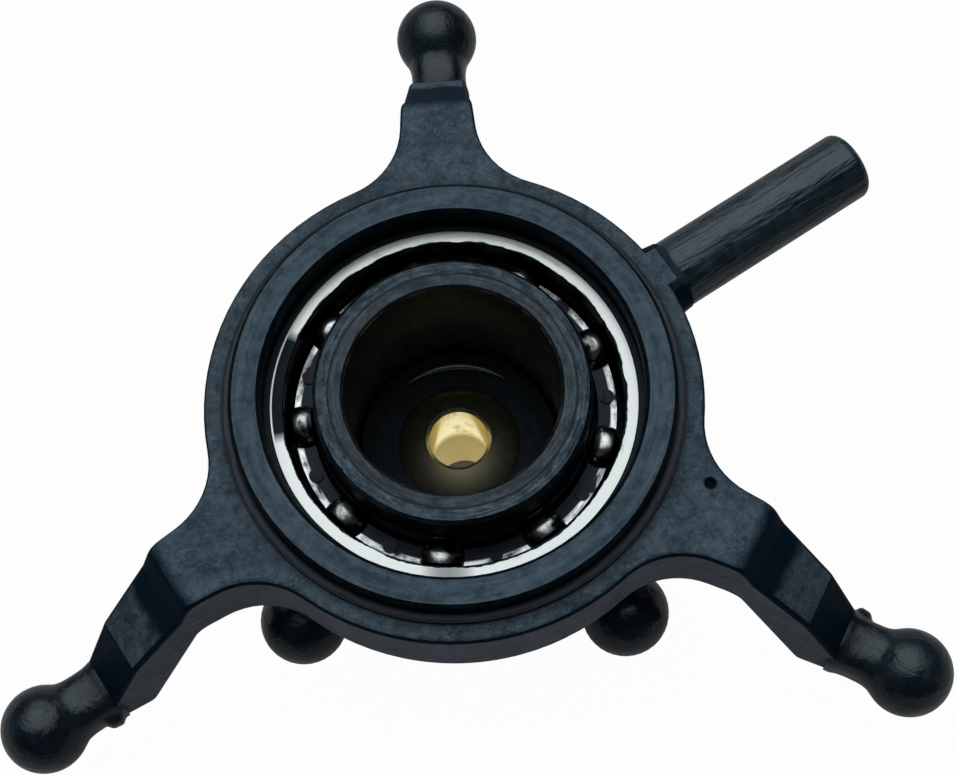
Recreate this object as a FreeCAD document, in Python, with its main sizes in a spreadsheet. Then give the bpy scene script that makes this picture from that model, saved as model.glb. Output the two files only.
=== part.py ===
import FreeCAD, Part
import math
import os
import re

import Sketcher

# Rotor-head swashplate of a small helicopter, lying rotor side down.
# Millimetres. Origin: centre of the pivot ball, on the shaft axis, in the plane
# of all the control balls. +Z leaves the open side of the bearing.

SIZES = [
    # pivot ball and its seat
    ("pivot_radius", 3.0, "pivot ball"),
    ("shaft_radius", 1.0, "bore for the rotor shaft"),
    ("shaft_chamfer", 0.12, "chamfer of that bore"),
    ("seat_play", 0.03, "running clearance at both spheres"),
    ("seat_wall", 0.97, "wall of the seat shells"),
    ("seat_top", 2.2, "upper face of the upper shell"),
    ("seat_bottom", 1.9, "lower face of the lower shell, below the origin"),
    ("mouth_lip", 0.58, "lip of the ball retainer under the lower shell"),
    ("mouth_flare", 0.25, "widening of the retainer's opening"),
    ("retainer_sink", 0.2, "retainer ring, set back from the hub's face"),
    # rotating hub
    ("hub_angle", 42.65, "direction of link ball 1"),
    ("hub_depth", 3.1, "rotor-side face of the hub, below the origin"),
    ("hub_gap", 0.5, "gap between the hub body and the star"),
    ("hub_chamfer", 0.3, "chamfers of the hub body"),
    ("hub_wall", 1.3, "wall round the retainer's recess"),
    ("recess_step", 0.67, "from the socket to that recess"),
    ("recess_depth", 0.3, "roof of the recess, below the origin"),
    ("well_lip", 0.53, "from the well above the ball to the socket"),
    ("well_chamfer", 0.1, "chamfer at the well's mouth"),
    ("sleeve_wall", 0.5, "wall of the sleeve through the bearing"),
    ("sleeve_stand", 1.1, "sleeve's end above the bearing"),
    ("spacer_width", 0.5, "shoulder under the inner race"),
    ("retaining_width", 0.5, "ring on the sleeve"),
    ("retaining_chamfer", 0.12, "its chamfer"),
    ("link_count", 4, "link studs"),
    ("boss_radius", 1.2, "boss round a link stud"),
    ("boss_height", 0.35, "its face, out from the hub body"),
    ("boss_sink", 0.5, "its root, into the hub body"),
    # ball bearing, 8 x 12 x 2.5
    ("bearing_face", 6.65, "upper face of both races"),
    ("bearing_width", 2.5, "width of the bearing"),
    ("bearing_ball_radius", 0.6, "bearing ball"),
    ("bearing_ball_count", 9, "bearing balls"),
    ("bearing_ball_angle", 22, "direction of bearing ball 1"),
    ("groove_play", 0.02, "play of a ball in its groove"),
    ("race_wall", 0.38, "race behind the groove"),
    ("land_depth", 0.42, "from the pitch circle to a race's land"),
    ("race_chamfer", 0.12, "chamfer at a race's fitted corners"),
    ("land_chamfer", 0.18, "chamfer at a race's land"),
    # ribbon cage
    ("ribbon_thick", 0.1, "sheet of each cage half"),
    ("ribbon_width", 0.6, "radial width of the ribbon"),
    ("pocket_play", 0.04, "play of a ball in its pocket"),
    ("rivet_radius", 0.14, "cage rivet"),
    ("rivet_head_width", 0.1, "overhang of its heads"),
    ("rivet_head_thick", 0.07, "thickness of a head"),
    # bearing housing
    ("housing_wall", 0.9, "sleeve round the outer race, pressed into the star"),
    ("lip_thick", 0.35, "lip under the outer race"),
    ("lip_width", 0.4, "its width"),
    ("flange_width", 0.6, "flange on the star's face"),
    ("flange_thick", 0.15, "its thickness"),
    ("rim_step", 0.3, "raised rim, out from the sleeve"),
    ("rim_height", 0.85, "its top above the star"),
    ("rim_play", 0.18, "its bore, out from the outer race"),
    ("rim_chamfer", 0.12, "chamfers of the rim"),
    # fixed star
    ("star_wall", 1.2, "wall of the star's ring"),
    ("star_thick", 3.15, "height of the ring"),
    ("root_round", 2.6, "round where an arm leaves the ring"),
    ("arm_count", 3, "servo arms"),
    ("first_arm_angle", 90, "direction of arm 1"),
    ("arm_width", 2.92, "width of an arm inside the ring's wall"),
    ("arm_end_width", 1.85, "width of its end face"),
    ("arm_flat", 2.65, "flat top of an arm, out from the ring"),
    ("bend_lead", 0.13, "bend of the underside, in from the knee"),
    ("drop_run", 0.5, "steep drop behind the knee"),
    ("drop_fall", 1.05, "its height"),
    ("slope_run", 2.05, "slope below that drop"),
    ("slope_fall", 2.4, "its height"),
    ("toe_run", 1.15, "steep facet at the arm's end"),
    ("foot_length", 1.3, "flat under the arm's end"),
    ("arm_end_top", 1.2, "top of the end face"),
    ("arm_end_depth", 1.0, "bottom of the end face, below the origin"),
    ("knee_round", 0.7, "round across the knee"),
    ("crank_round", 0.5, "rounds across the arm's other bends"),
    ("top_round", 0.2, "round along the upper edges"),
    ("bottom_round", 0.4, "round along the lower edges"),
    ("dimple_radius", 0.17, "small dimple in the root of arm 3"),
    ("dimple_depth", 0.15, "its depth"),
    ("dimple_lead", 0.58, "its distance from the ring's outside"),
    ("dimple_turn", 6.5, "its direction from the arm's"),
    # anti-rotation pin
    ("pin_angle", 30, "direction of the pin"),
    ("pin_drop", 1.5, "the pin's axis, below the star's face"),
    ("pin_radius", 1.2, "pin"),
    ("pin_length", 7.45, "pin, out of its boss"),
    ("pin_tip_round", 0.35, "round at the tip"),
    ("pin_shank_radius", 0.8, "pressed shank of the pin"),
    ("pin_boss_wall", 0.04, "boss that the pin stands on, beyond the pin"),
    ("pin_boss_draft", 0.16, "widening of that boss towards the ring"),
    ("pin_boss_length", 0.6, "face of that boss, out from the ring"),
    ("rib_width", 1.3, "rib from that boss to the star's face"),
    ("rib_lead", 0.35, "slanted end of the rib"),
    ("shank_cover", 0.2, "wall left behind a pressed shank"),
    # control balls
    ("control_ball_radius", 1.5, "every control ball"),
    ("servo_neck_radius", 1.12, "servo stud's neck at the arm"),
    ("servo_waist_radius", 1.05, "that neck at the ball"),
    ("servo_neck_length", 1.41, "length of that neck"),
    ("servo_shank_radius", 0.6, "pressed shank"),
    ("stub_radius", 0.3, "gate stub beside the neck"),
    ("stub_stand", 0.3, "its length beyond the neck"),
    ("stub_gap", 0.05, "gap between the stub and the arm"),
    ("link_neck_radius", 0.9, "link stud's neck at the boss"),
    ("link_waist_radius", 0.85, "that neck at the ball"),
    ("link_neck_length", 0.214, "length of that neck"),
    ("link_shank_radius", 0.6, "pressed shank"),
]

# Places worked out from the sizes. An expression may use their names as it uses sizes.
PLACES = {
    # radial stack, from the pivot ball outwards
    "seat_inside": "pivot_radius + seat_play",
    "seat_radius": "seat_inside + seat_wall",
    "socket_radius": "seat_radius + seat_play",
    "mouth_radius": "socket_radius - mouth_lip",
    "recess_radius": "socket_radius + recess_step",
    "hub_radius": "recess_radius + hub_wall",
    "well_radius": "socket_radius - well_lip",
    "race_bore": "well_radius + sleeve_wall",
    "spacer_radius": "race_bore + spacer_width",
    "retaining_radius": "race_bore + retaining_width",
    "pitch_radius": "race_bore + race_wall + groove_play + bearing_ball_radius",
    "race_radius": "pitch_radius + bearing_ball_radius + groove_play + race_wall",
    "lip_bore": "race_radius - lip_width",
    "rim_bore": "race_radius + rim_play",
    "sleeve_radius": "race_radius + housing_wall",
    "rim_radius": "sleeve_radius + rim_step",
    "flange_radius": "sleeve_radius + flange_width",
    "ring_radius": "sleeve_radius + star_wall",
    "wall_middle": "sleeve_radius + star_wall / 2",
    # along an arm and its stud
    "knee_reach": "ring_radius + arm_flat",
    "bend_reach": "knee_reach - bend_lead",
    "drop_reach": "knee_reach + drop_run",
    "slope_reach": "drop_reach + slope_run",
    "arm_reach": "slope_reach + toe_run",
    "heel_reach": "arm_reach - foot_length",
    "stub_place": "arm_reach + stub_gap + stub_radius",
    "stub_reach": "servo_neck_radius + stub_stand",
    "servo_ball_seat": "sqrt(control_ball_radius^2 - servo_waist_radius^2)",
    "servo_circle": "arm_reach + servo_neck_length + servo_ball_seat",
    # along a link stud and along the pin
    "boss_root": "hub_radius - boss_sink",
    "boss_reach": "hub_radius + boss_height",
    "link_shank_root": "recess_radius + shank_cover",
    "link_ball_seat": "sqrt(control_ball_radius^2 - link_waist_radius^2)",
    "link_circle": "boss_reach + link_neck_length + link_ball_seat",
    "pin_shank_root": "sleeve_radius + shank_cover",
    "pin_boss_radius": "pin_radius + pin_boss_wall",
    "pin_boss_reach": "ring_radius + pin_boss_length",
    "rib_reach": "pin_boss_reach - rib_lead",
    "pin_reach": "pin_boss_reach + pin_length",
    "dimple_reach": "ring_radius + dimple_lead",
    "dimple_angle": "first_arm_angle + 2 * 360 / arm_count + dimple_turn",
    # heights
    "bearing_bottom": "bearing_face - bearing_width",
    "bearing_middle": "bearing_face - bearing_width / 2",
    "ring_bottom": "bearing_bottom - lip_thick",
    "ring_top": "ring_bottom + star_thick",
    "rim_top": "ring_top + rim_height",
    "hub_top": "bearing_face + sleeve_stand",
    "hub_shoulder": "ring_bottom - hub_gap",
    "hub_bottom": "-hub_depth",
    "recess_roof": "-recess_depth",
    "retainer_bottom": "retainer_sink - hub_depth",
    "drop_height": "ring_top - drop_fall",
    "slope_height": "drop_height - slope_fall",
    "arm_end_bottom": "-arm_end_depth",
    "pin_height": "ring_top - pin_drop",
}

TOUCH = 0.01  # two places this near, in millimetres, are the same
SLANT = 0.2  # least upward part of the normal of a face that counts as an upper face
CELL_WORD = re.compile(r"[a-z]+(?:_[a-z]+)+")

document = FreeCAD.newDocument("swashplate")
sheet = document.addObject("Spreadsheet::Sheet", "size")
for row, (alias, number, note) in enumerate(SIZES, start=1):
    sheet.set(f"A{row}", alias)
    sheet.set(f"B{row}", str(number))
    sheet.setAlias(f"B{row}", alias)
    sheet.set(f"C{row}", note)
document.recompute()

sub_parts = []


# ---------------------------------------------------------------- helpers


def spelled_out(expression, prefix):
    """The expression in cells of the sheet alone: each place is put as its formula."""
    def swap(match):
        word = match.group()
        if word in PLACES:
            return f"({spelled_out(PLACES[word], prefix)})"
        return prefix + word

    return CELL_WORD.sub(swap, expression)


def cells(expression):
    """The expression as another object writes it, with each cell as size.word."""
    return spelled_out(expression, "size.")


def value(expression):
    """Number that an expression stands for."""
    return float(sheet.evalExpression(spelled_out(expression, "")))


def finish(sub_part, label):
    """Name a finished sub-part and list it for export."""
    sub_part.Label = label
    sub_parts.append(sub_part)
    return sub_part


def new_sketch(body, name, turn=0.0, shift=("0", "0", "0"), role="XZ_Plane"):
    """Empty sketch on a plane of the body, turned about Z, its origin shifted.

    On the upright XZ plane its own axes are across, up and towards the viewer, -Y.
    """
    sketch = body.newObject("Sketcher::SketchObject", name)
    plane = next(item for item in body.Origin.OriginFeatures if item.Role == role)
    sketch.AttachmentSupport = [(plane, "")]
    sketch.MapMode = "FlatFace"
    z_axis = FreeCAD.Vector(0, 1, 0) if role == "XZ_Plane" else FreeCAD.Vector(0, 0, 1)
    turned = FreeCAD.Rotation(z_axis, turn)
    sketch.AttachmentOffset = FreeCAD.Placement(FreeCAD.Vector(), turned)
    for letter, expression in zip("xyz", shift):
        sketch.setExpression(f"AttachmentOffset.Base.{letter}", cells(expression))
    return sketch


def bind(sketch, constraint, expression):
    """Add a dimension that follows an expression of the sheet."""
    index = sketch.addConstraint(constraint)
    sketch.setExpression(f"Constraints[{index}]", cells(expression))


def arc_centre(start, end, radius, side):
    """Centre of the arc from start to end: to the left for side 1, right for -1."""
    chord = end - start
    rise = math.sqrt(max(radius**2 - (chord.Length / 2) ** 2, 0.0))
    normal = FreeCAD.Vector(-chord.y, chord.x, 0).normalize()
    return (start + end) * 0.5 + normal * (rise * side)


def add_edge(sketch, start, end, bend):
    """Line, or an arc for bend (radius, side). Gives its start tip and its end tip."""
    if bend is None:
        edge = sketch.addGeometry(Part.LineSegment(start, end), False)
        return (edge, 1), (edge, 2)
    radius, side = bend
    centre = arc_centre(start, end, value(radius), side)
    circle = Part.Circle(centre, FreeCAD.Vector(0, 0, 1), value(radius))
    first, last = (start, end) if side > 0 else (end, start)
    angles = [math.atan2(tip.y - centre.y, tip.x - centre.x) for tip in (first, last)]
    edge = sketch.addGeometry(Part.ArcOfCircle(circle, *angles), False)
    bind(sketch, Sketcher.Constraint("Radius", edge, value(radius)), radius)
    return ((edge, 1), (edge, 2)) if side > 0 else ((edge, 2), (edge, 1))


def add_outline(sketch, points, bends=None):
    """Closed outline through points of two expressions each.

    bends makes the edge that leaves a point an arc: {point: (radius, side)}.
    """
    bends = bends or {}
    places = [FreeCAD.Vector(value(across), value(up), 0) for across, up in points]
    ends = places[1:] + places[:1]
    tips = [
        add_edge(sketch, start, end, bends.get(index))
        for index, (start, end) in enumerate(zip(places, ends))
    ]
    for index, (start_tip, _) in enumerate(tips):
        before = tips[index - 1][1]
        sketch.addConstraint(Sketcher.Constraint("Coincident", *before, *start_tip))
    for (start_tip, _), place, (across, up) in zip(tips, places, points):
        reach = Sketcher.Constraint("DistanceX", -1, 1, *start_tip, place.x)
        bind(sketch, reach, across)
        rise = Sketcher.Constraint("DistanceY", -1, 1, *start_tip, place.y)
        bind(sketch, rise, up)


def box_points(left, right, low, high):
    return [(left, low), (right, low), (right, high), (left, high)]


def turned_feature(body, kind, name, points, bends=None, axis="V_Axis", **places):
    """Revolution or Groove of an outline about its sketch's axis."""
    sketch = new_sketch(body, f"{name}_outline", **places)
    add_outline(sketch, points, bends)
    feature = body.newObject(f"PartDesign::{kind}", name)
    feature.Profile = sketch
    feature.ReferenceAxis = (sketch, [axis])
    feature.Angle = 360
    document.recompute()
    return feature


def turned_body(label, points, bends=None):
    """Sub-part turned about its own Z axis."""
    body = document.addObject("PartDesign::Body", label)
    turned_feature(body, "Revolution", f"{label}_turned", points, bends)
    return finish(body, label)


def slab(body, name, points, thickness, turn=0.0):
    """Pad of an upright outline, centred on its plane, which stands at an angle."""
    sketch = new_sketch(body, f"{name}_outline", turn)
    add_outline(sketch, points)
    pad = body.newObject("PartDesign::Pad", name)
    pad.Profile = sketch
    pad.Midplane = True
    pad.setExpression("Length", cells(thickness))
    document.recompute()
    return pad


def ring_pattern(body, name, originals, count):
    """Copies of features, evenly spaced about Z."""
    z_axis = next(item for item in body.Origin.OriginFeatures if item.Role == "Z_Axis")
    pattern = body.newObject("PartDesign::PolarPattern", name)
    pattern.Originals = originals
    pattern.Axis = (z_axis, [""])
    pattern.Angle = 360
    pattern.setExpression("Occurrences", cells(count))
    body.Tip = pattern
    document.recompute()
    return pattern


def round_edges(body, name, wanted, radius):
    """Fillet on the edges of the body's last feature that wanted() accepts."""
    base = body.Tip
    chosen = [f"Edge{n}" for n, edge in enumerate(base.Shape.Edges, 1) if wanted(edge)]
    fillet = body.newObject("PartDesign::Fillet", name)
    fillet.Base = (base, chosen)
    fillet.setExpression("Radius", cells(radius))
    document.recompute()
    return fillet


def turn_about_z(sub_part, angle):
    sub_part.Placement = FreeCAD.Placement(
        FreeCAD.Vector(), FreeCAD.Rotation(value(angle), 0, 0)
    )


def lay_along(sub_part, angle, height="0"):
    """Lay a sub-part that was turned about Z along the radius at some angle."""
    flat = FreeCAD.Rotation(value(angle), 90, 0)
    sub_part.Placement = FreeCAD.Placement(FreeCAD.Vector(), flat)
    sub_part.setExpression("Placement.Base.z", cells(height))


# ---------------------------------------------------------------- fixed star


def reach_of(edge):
    """Distance of an edge's middle from the shaft axis."""
    return math.hypot(edge.CenterOfMass.x, edge.CenterOfMass.y)


def facings(edge, shape):
    """Least and greatest upward part of the normals of the faces beside an edge."""
    middle = edge.valueAt((edge.FirstParameter + edge.LastParameter) / 2)
    parts = []
    for face in shape.ancestorsOfType(edge, Part.Face):
        across, along = face.Surface.parameter(middle)
        parts.append(face.normalAt(across, along).z)
    return min(parts), max(parts)


def cut_flanks(star, angle):
    """Taper an arm's two sides, from its full width to that of its end face."""
    sketch = new_sketch(star, "flank_outline", turn=angle, role="XY_Plane")
    for side in ("", "-"):
        add_outline(sketch, [
            ("wall_middle", f"{side}arm_width / 2"),
            ("wall_middle", f"{side}arm_width"),
            ("arm_reach", f"{side}arm_width"),
            ("arm_reach", f"{side}arm_end_width / 2"),
        ])
    flanks = star.newObject("PartDesign::Pocket", "arm_flanks")
    flanks.Profile = sketch
    flanks.Type = "ThroughAll"
    flanks.Midplane = True
    document.recompute()
    return flanks


def make_star():
    """Ring with three cranked servo arms, a boss for the pin and holes for the inserts."""
    star = document.addObject("PartDesign::Body", "fixed_star")
    star.AllowCompound = True
    arm = [
        ("wall_middle", "ring_bottom"),
        ("bend_reach", "ring_bottom"),
        ("heel_reach", "arm_end_bottom"),
        ("arm_reach", "arm_end_bottom"),
        ("arm_reach", "arm_end_top"),
        ("slope_reach", "slope_height"),
        ("drop_reach", "drop_height"),
        ("knee_reach", "ring_top"),
        ("wall_middle", "ring_top"),
    ]
    arm_angle = value("first_arm_angle")
    first_arm = slab(star, "star_arm", arm, "arm_width", turn=arm_angle)
    flanks = cut_flanks(star, arm_angle)
    ring_pattern(star, "star_arms", [first_arm, flanks], "arm_count")
    ring = box_points("sleeve_radius", "ring_radius", "ring_bottom", "ring_top")
    turned_feature(star, "Revolution", "star_ring", ring)

    def at_root(edge):
        upright = edge.BoundBox.ZLength > 0.9 * value("ring_top - ring_bottom")
        return upright and abs(reach_of(edge) - value("ring_radius")) < TOUCH

    def across_arm(edge):
        """Level straight edge square to an arm."""
        straight = isinstance(edge.Curve, Part.Line) and edge.BoundBox.ZLength < TOUCH
        ends = [math.hypot(tip.X, tip.Y) for tip in edge.Vertexes]
        return straight and abs(ends[0] - ends[-1]) < TOUCH

    def at_knee(edge):
        near = abs(reach_of(edge) - value("knee_reach")) < TOUCH
        return across_arm(edge) and near and edge.CenterOfMass.z > value("ring_top") - TOUCH

    def at_crank(edge):
        inner = reach_of(edge) > value("bend_reach") - TOUCH
        return across_arm(edge) and inner and reach_of(edge) < value("arm_reach") - TOUCH

    def outer_edge(side):
        """Edges between the outside and the upper (1) or lower (-1) faces."""
        shape = star.Tip.Shape

        def wanted(edge):
            if across_arm(edge) or reach_of(edge) < TOUCH:
                return False
            low, high = facings(edge, shape)
            upright = abs(low) < TOUCH or abs(high) < TOUCH
            return upright and max(side * low, side * high) > SLANT

        return wanted

    round_edges(star, "root_rounds", at_root, "root_round")
    round_edges(star, "knee_rounds", at_knee, "knee_round")
    round_edges(star, "crank_rounds", at_crank, "crank_round")
    round_edges(star, "upper_rounds", outer_edge(1), "top_round")
    round_edges(star, "lower_rounds", outer_edge(-1), "bottom_round")

    pin_angle = value("pin_angle")
    boss = [
        ("wall_middle", "0"),
        ("pin_boss_reach", "0"),
        ("pin_boss_reach", "pin_boss_radius"),
        ("wall_middle", "pin_boss_radius + pin_boss_draft"),
    ]
    turned_feature(star, "Revolution", "pin_boss", boss, axis="H_Axis",
                   turn=pin_angle, shift=("0", "pin_height", "0"))
    slab(star, "pin_rib", [
        ("wall_middle", "pin_height"),
        ("pin_boss_reach", "pin_height"),
        ("pin_boss_reach", "pin_height + pin_radius"),
        ("rib_reach", "ring_top"),
        ("wall_middle", "ring_top"),
    ], "rib_width", turn=pin_angle)
    pin_hole = box_points("pin_shank_root", "pin_boss_reach", "0", "pin_shank_radius")
    turned_feature(star, "Groove", "pin_hole", pin_hole, axis="H_Axis",
                   turn=pin_angle, shift=("0", "pin_height", "0"))
    stud_hole = box_points("heel_reach", "arm_reach", "0", "servo_shank_radius")
    first_hole = turned_feature(star, "Groove", "stud_hole", stud_hole, axis="H_Axis",
                                turn=arm_angle)
    ring_pattern(star, "stud_holes", [first_hole], "arm_count")
    dimple = box_points("0", "dimple_radius", "ring_top - dimple_depth", "ring_top")
    turned_feature(star, "Groove", "gate_dimple", dimple, shift=(
        "dimple_reach * cos(dimple_angle)", "0", "-dimple_reach * sin(dimple_angle)"))
    return finish(star, "fixed_star")


# ---------------------------------------------------------------- bearing and housing


def make_housing():
    """Flanged sleeve that carries the bearing; its rim stands above the star."""
    turned_body("bearing_housing", [
        ("lip_bore", "ring_bottom"),
        ("sleeve_radius - rim_chamfer", "ring_bottom"),
        ("sleeve_radius", "ring_bottom + rim_chamfer"),
        ("sleeve_radius", "ring_top"),
        ("flange_radius", "ring_top"),
        ("flange_radius", "ring_top + flange_thick"),
        ("rim_radius", "ring_top + flange_thick"),
        ("rim_radius", "rim_top - rim_chamfer"),
        ("rim_radius - rim_chamfer", "rim_top"),
        ("rim_bore + rim_chamfer", "rim_top"),
        ("rim_bore", "rim_top - rim_chamfer"),
        ("rim_bore", "bearing_face"),
        ("race_radius", "bearing_face"),
        ("race_radius", "bearing_bottom"),
        ("lip_bore", "bearing_bottom"),
    ])


def race_points(fitted, side):
    """Section of a race. side is 1 for the outer race and -1 for the inner race."""
    land = f"pitch_radius + ({side}) * land_depth"
    toward = f"({side}) * race_chamfer"
    away = f"({side}) * land_chamfer"
    groove = "sqrt((bearing_ball_radius + groove_play)^2 - land_depth^2)"
    return [
        (f"{land} + {away}", "bearing_bottom"),
        (f"{fitted} - {toward}", "bearing_bottom"),
        (fitted, "bearing_bottom + race_chamfer"),
        (fitted, "bearing_face - race_chamfer"),
        (f"{fitted} - {toward}", "bearing_face"),
        (f"{land} + {away}", "bearing_face"),
        (land, "bearing_face - land_chamfer"),
        (land, f"bearing_middle + {groove}"),
        (land, f"bearing_middle - {groove}"),
        (land, "bearing_bottom + land_chamfer"),
    ]


def make_races():
    """Outer and inner race, each with the groove that its balls run in."""
    groove = "bearing_ball_radius + groove_play"
    for label, fitted, side in (
        ("bearing_outer_race", "race_radius", 1),
        ("bearing_inner_race", "race_bore", -1),
    ):
        turned_body(label, race_points(fitted, side), {7: (groove, -side)})


def make_bearing_balls():
    count = int(value("bearing_ball_count"))
    for number in range(count):
        label = f"bearing_ball_{number + 1}"
        direction = f"(bearing_ball_angle + {number} * 360 / bearing_ball_count)"
        ball = document.addObject("Part::Sphere", label)
        ball.setExpression("Radius", cells("bearing_ball_radius"))
        ball.setExpression("Placement.Base.x", cells(f"pitch_radius * cos({direction})"))
        ball.setExpression("Placement.Base.y", cells(f"pitch_radius * sin({direction})"))
        ball.setExpression("Placement.Base.z", cells("bearing_middle"))
        finish(ball, label)


def between_balls():
    """Place midway between two balls, as a sketch shift."""
    half_step = "180 / bearing_ball_count"
    return (f"pitch_radius * cos({half_step})", "0", f"-pitch_radius * sin({half_step})")


def set_in_bearing(body, flip):
    """Seat a sub-part made about the bearing's middle plane, turned over if flip."""
    roll = 180 if flip else 0
    angle = value("bearing_ball_angle")
    body.Placement = FreeCAD.Placement(
        FreeCAD.Vector(), FreeCAD.Rotation(angle, 0, roll)
    )
    body.setExpression("Placement.Base.z", cells("bearing_middle"))


def make_cage_half(label, flip):
    """Pressed ribbon: flats with rivet holes between domed pockets over the balls."""
    half = document.addObject("PartDesign::Body", label)
    inner_edge = "pitch_radius - ribbon_width / 2"
    outer_edge = "pitch_radius + ribbon_width / 2"
    hollow = "bearing_ball_radius + pocket_play"
    crown = f"{hollow} + ribbon_thick"
    at_ball = ("pitch_radius", "0", "0")
    count = "bearing_ball_count"

    flat = box_points(inner_edge, outer_edge, "0", "ribbon_thick")
    turned_feature(half, "Revolution", f"{label}_flat", flat)
    dome = [("0", "0"), (crown, "0"), ("0", crown)]
    first_dome = turned_feature(half, "Revolution", f"{label}_dome", dome,
                                {1: (crown, 1)}, shift=at_ball)
    ring_pattern(half, f"{label}_domes", [first_dome], count)
    for name, left, right in (
        ("inner_trim", f"pitch_radius - ({crown}) - ribbon_thick", inner_edge),
        ("outer_trim", outer_edge, f"pitch_radius + {crown} + ribbon_thick"),
    ):
        trim = box_points(left, right, "0", f"{crown} + ribbon_thick")
        turned_feature(half, "Groove", f"{label}_{name}", trim)
    pocket = [("0", "0"), (hollow, "0"), ("0", hollow)]
    first_pocket = turned_feature(half, "Groove", f"{label}_pocket", pocket,
                                  {1: (hollow, 1)}, shift=at_ball)
    ring_pattern(half, f"{label}_pockets", [first_pocket], count)
    hole = box_points("0", "rivet_radius", "0", "ribbon_thick")
    first_hole = turned_feature(half, "Groove", f"{label}_hole", hole,
                                shift=between_balls())
    ring_pattern(half, f"{label}_holes", [first_hole], count)
    set_in_bearing(half, flip)
    return finish(half, label)


def make_rivets():
    """Rivets through both cage halves, one between each pair of balls."""
    rivets = document.addObject("PartDesign::Body", "cage_rivets")
    rivets.AllowCompound = True
    seat = "ribbon_thick"
    head = "ribbon_thick + rivet_head_thick"
    rivet = [
        ("0", f"-({head})"),
        ("rivet_radius + rivet_head_width", f"-({head})"),
        ("rivet_radius + rivet_head_width", f"-{seat}"),
        ("rivet_radius", f"-{seat}"),
        ("rivet_radius", seat),
        ("rivet_radius + rivet_head_width", seat),
        ("rivet_radius + rivet_head_width", head),
        ("0", head),
    ]
    first = turned_feature(rivets, "Revolution", "rivet", rivet, shift=between_balls())
    ring_pattern(rivets, "rivet_ring", [first], "bearing_ball_count")
    set_in_bearing(rivets, False)
    return finish(rivets, "cage_rivets")


# ---------------------------------------------------------------- rotating hub


def make_hub():
    """Sleeve through the bearing, body with four stud bosses, well and ball socket."""
    hub = document.addObject("PartDesign::Body", "rotating_hub")
    turned_feature(hub, "Revolution", "hub_turned", [
        ("recess_radius", "hub_bottom"),
        ("hub_radius - hub_chamfer", "hub_bottom"),
        ("hub_radius", "hub_bottom + hub_chamfer"),
        ("hub_radius", "hub_shoulder - hub_chamfer"),
        ("hub_radius - hub_chamfer", "hub_shoulder"),
        ("spacer_radius", "hub_shoulder"),
        ("spacer_radius", "bearing_bottom"),
        ("race_bore", "bearing_bottom"),
        ("race_bore", "hub_top"),
        ("well_radius + well_chamfer", "hub_top"),
        ("well_radius", "hub_top - well_chamfer"),
        ("well_radius", "sqrt(socket_radius^2 - well_radius^2)"),
        ("socket_radius", "0"),
        ("socket_radius", "recess_roof"),
        ("recess_radius", "recess_roof"),
    ], {11: ("socket_radius", -1)})
    boss = box_points("boss_root", "boss_reach", "0", "boss_radius")
    first_boss = turned_feature(hub, "Revolution", "stud_boss", boss, axis="H_Axis")
    ring_pattern(hub, "stud_bosses", [first_boss], "link_count")
    hole = box_points("link_shank_root", "boss_reach", "0", "link_shank_radius")
    first_hole = turned_feature(hub, "Groove", "link_hole", hole, axis="H_Axis")
    ring_pattern(hub, "link_holes", [first_hole], "link_count")
    turn_about_z(hub, "hub_angle")
    return finish(hub, "rotating_hub")


def make_retaining_ring():
    """Ring on the hub's sleeve that holds the inner race down."""
    turned_body("hub_retaining_ring", [
        ("race_bore", "bearing_face"),
        ("retaining_radius", "bearing_face"),
        ("retaining_radius", "hub_top - retaining_chamfer"),
        ("retaining_radius - retaining_chamfer", "hub_top"),
        ("race_bore", "hub_top"),
    ])


def make_ball_retainer():
    """Ring pressed into the hub from the rotor side; it closes the ball socket."""
    turned_body("ball_retainer_ring", [
        ("mouth_radius + mouth_flare", "retainer_bottom"),
        ("recess_radius", "retainer_bottom"),
        ("recess_radius", "recess_roof"),
        ("sqrt(socket_radius^2 - recess_depth^2)", "recess_roof"),
        ("mouth_radius", "-sqrt(socket_radius^2 - mouth_radius^2)"),
    ], {3: ("socket_radius", -1)})


# ---------------------------------------------------------------- pivot ball and seat


def make_seat_shells():
    """Two half shells between the pivot ball and the hub, split at the equator."""
    turned_body("ball_seat_upper", [
        ("seat_inside", "0"),
        ("seat_radius", "0"),
        ("sqrt(seat_radius^2 - seat_top^2)", "seat_top"),
        ("sqrt(seat_inside^2 - seat_top^2)", "seat_top"),
    ], {1: ("seat_radius", 1), 3: ("seat_inside", -1)})
    turned_body("ball_seat_lower", [
        ("sqrt(seat_inside^2 - seat_bottom^2)", "-seat_bottom"),
        ("sqrt(seat_radius^2 - seat_bottom^2)", "-seat_bottom"),
        ("seat_radius", "0"),
        ("seat_inside", "0"),
    ], {1: ("seat_radius", 1), 3: ("seat_inside", -1)})


def make_pivot_ball():
    """Ball that slides on the rotor shaft and carries the swashplate."""
    mouth = "shaft_radius + shaft_chamfer"
    pole = f"sqrt(pivot_radius^2 - ({mouth})^2)"
    turned_body("pivot_ball", [
        ("shaft_radius", f"shaft_chamfer - {pole}"),
        (mouth, f"-{pole}"),
        (mouth, pole),
        ("shaft_radius", f"{pole} - shaft_chamfer"),
    ], {1: ("pivot_radius", 1)})


# ---------------------------------------------------------------- studs and pin


def ball_stud_points(kind, shank_root, face):
    """Half section of a ball stud whose own Z axis is the radius it lies on.

    kind is servo or link, and face is what the neck stands on.
    """
    return [
        ("0", shank_root),
        (f"{kind}_shank_radius", shank_root),
        (f"{kind}_shank_radius", face),
        (f"{kind}_neck_radius", face),
        (f"{kind}_waist_radius", f"{kind}_circle - {kind}_ball_seat"),
        ("0", f"{kind}_circle + control_ball_radius"),
    ]


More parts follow.
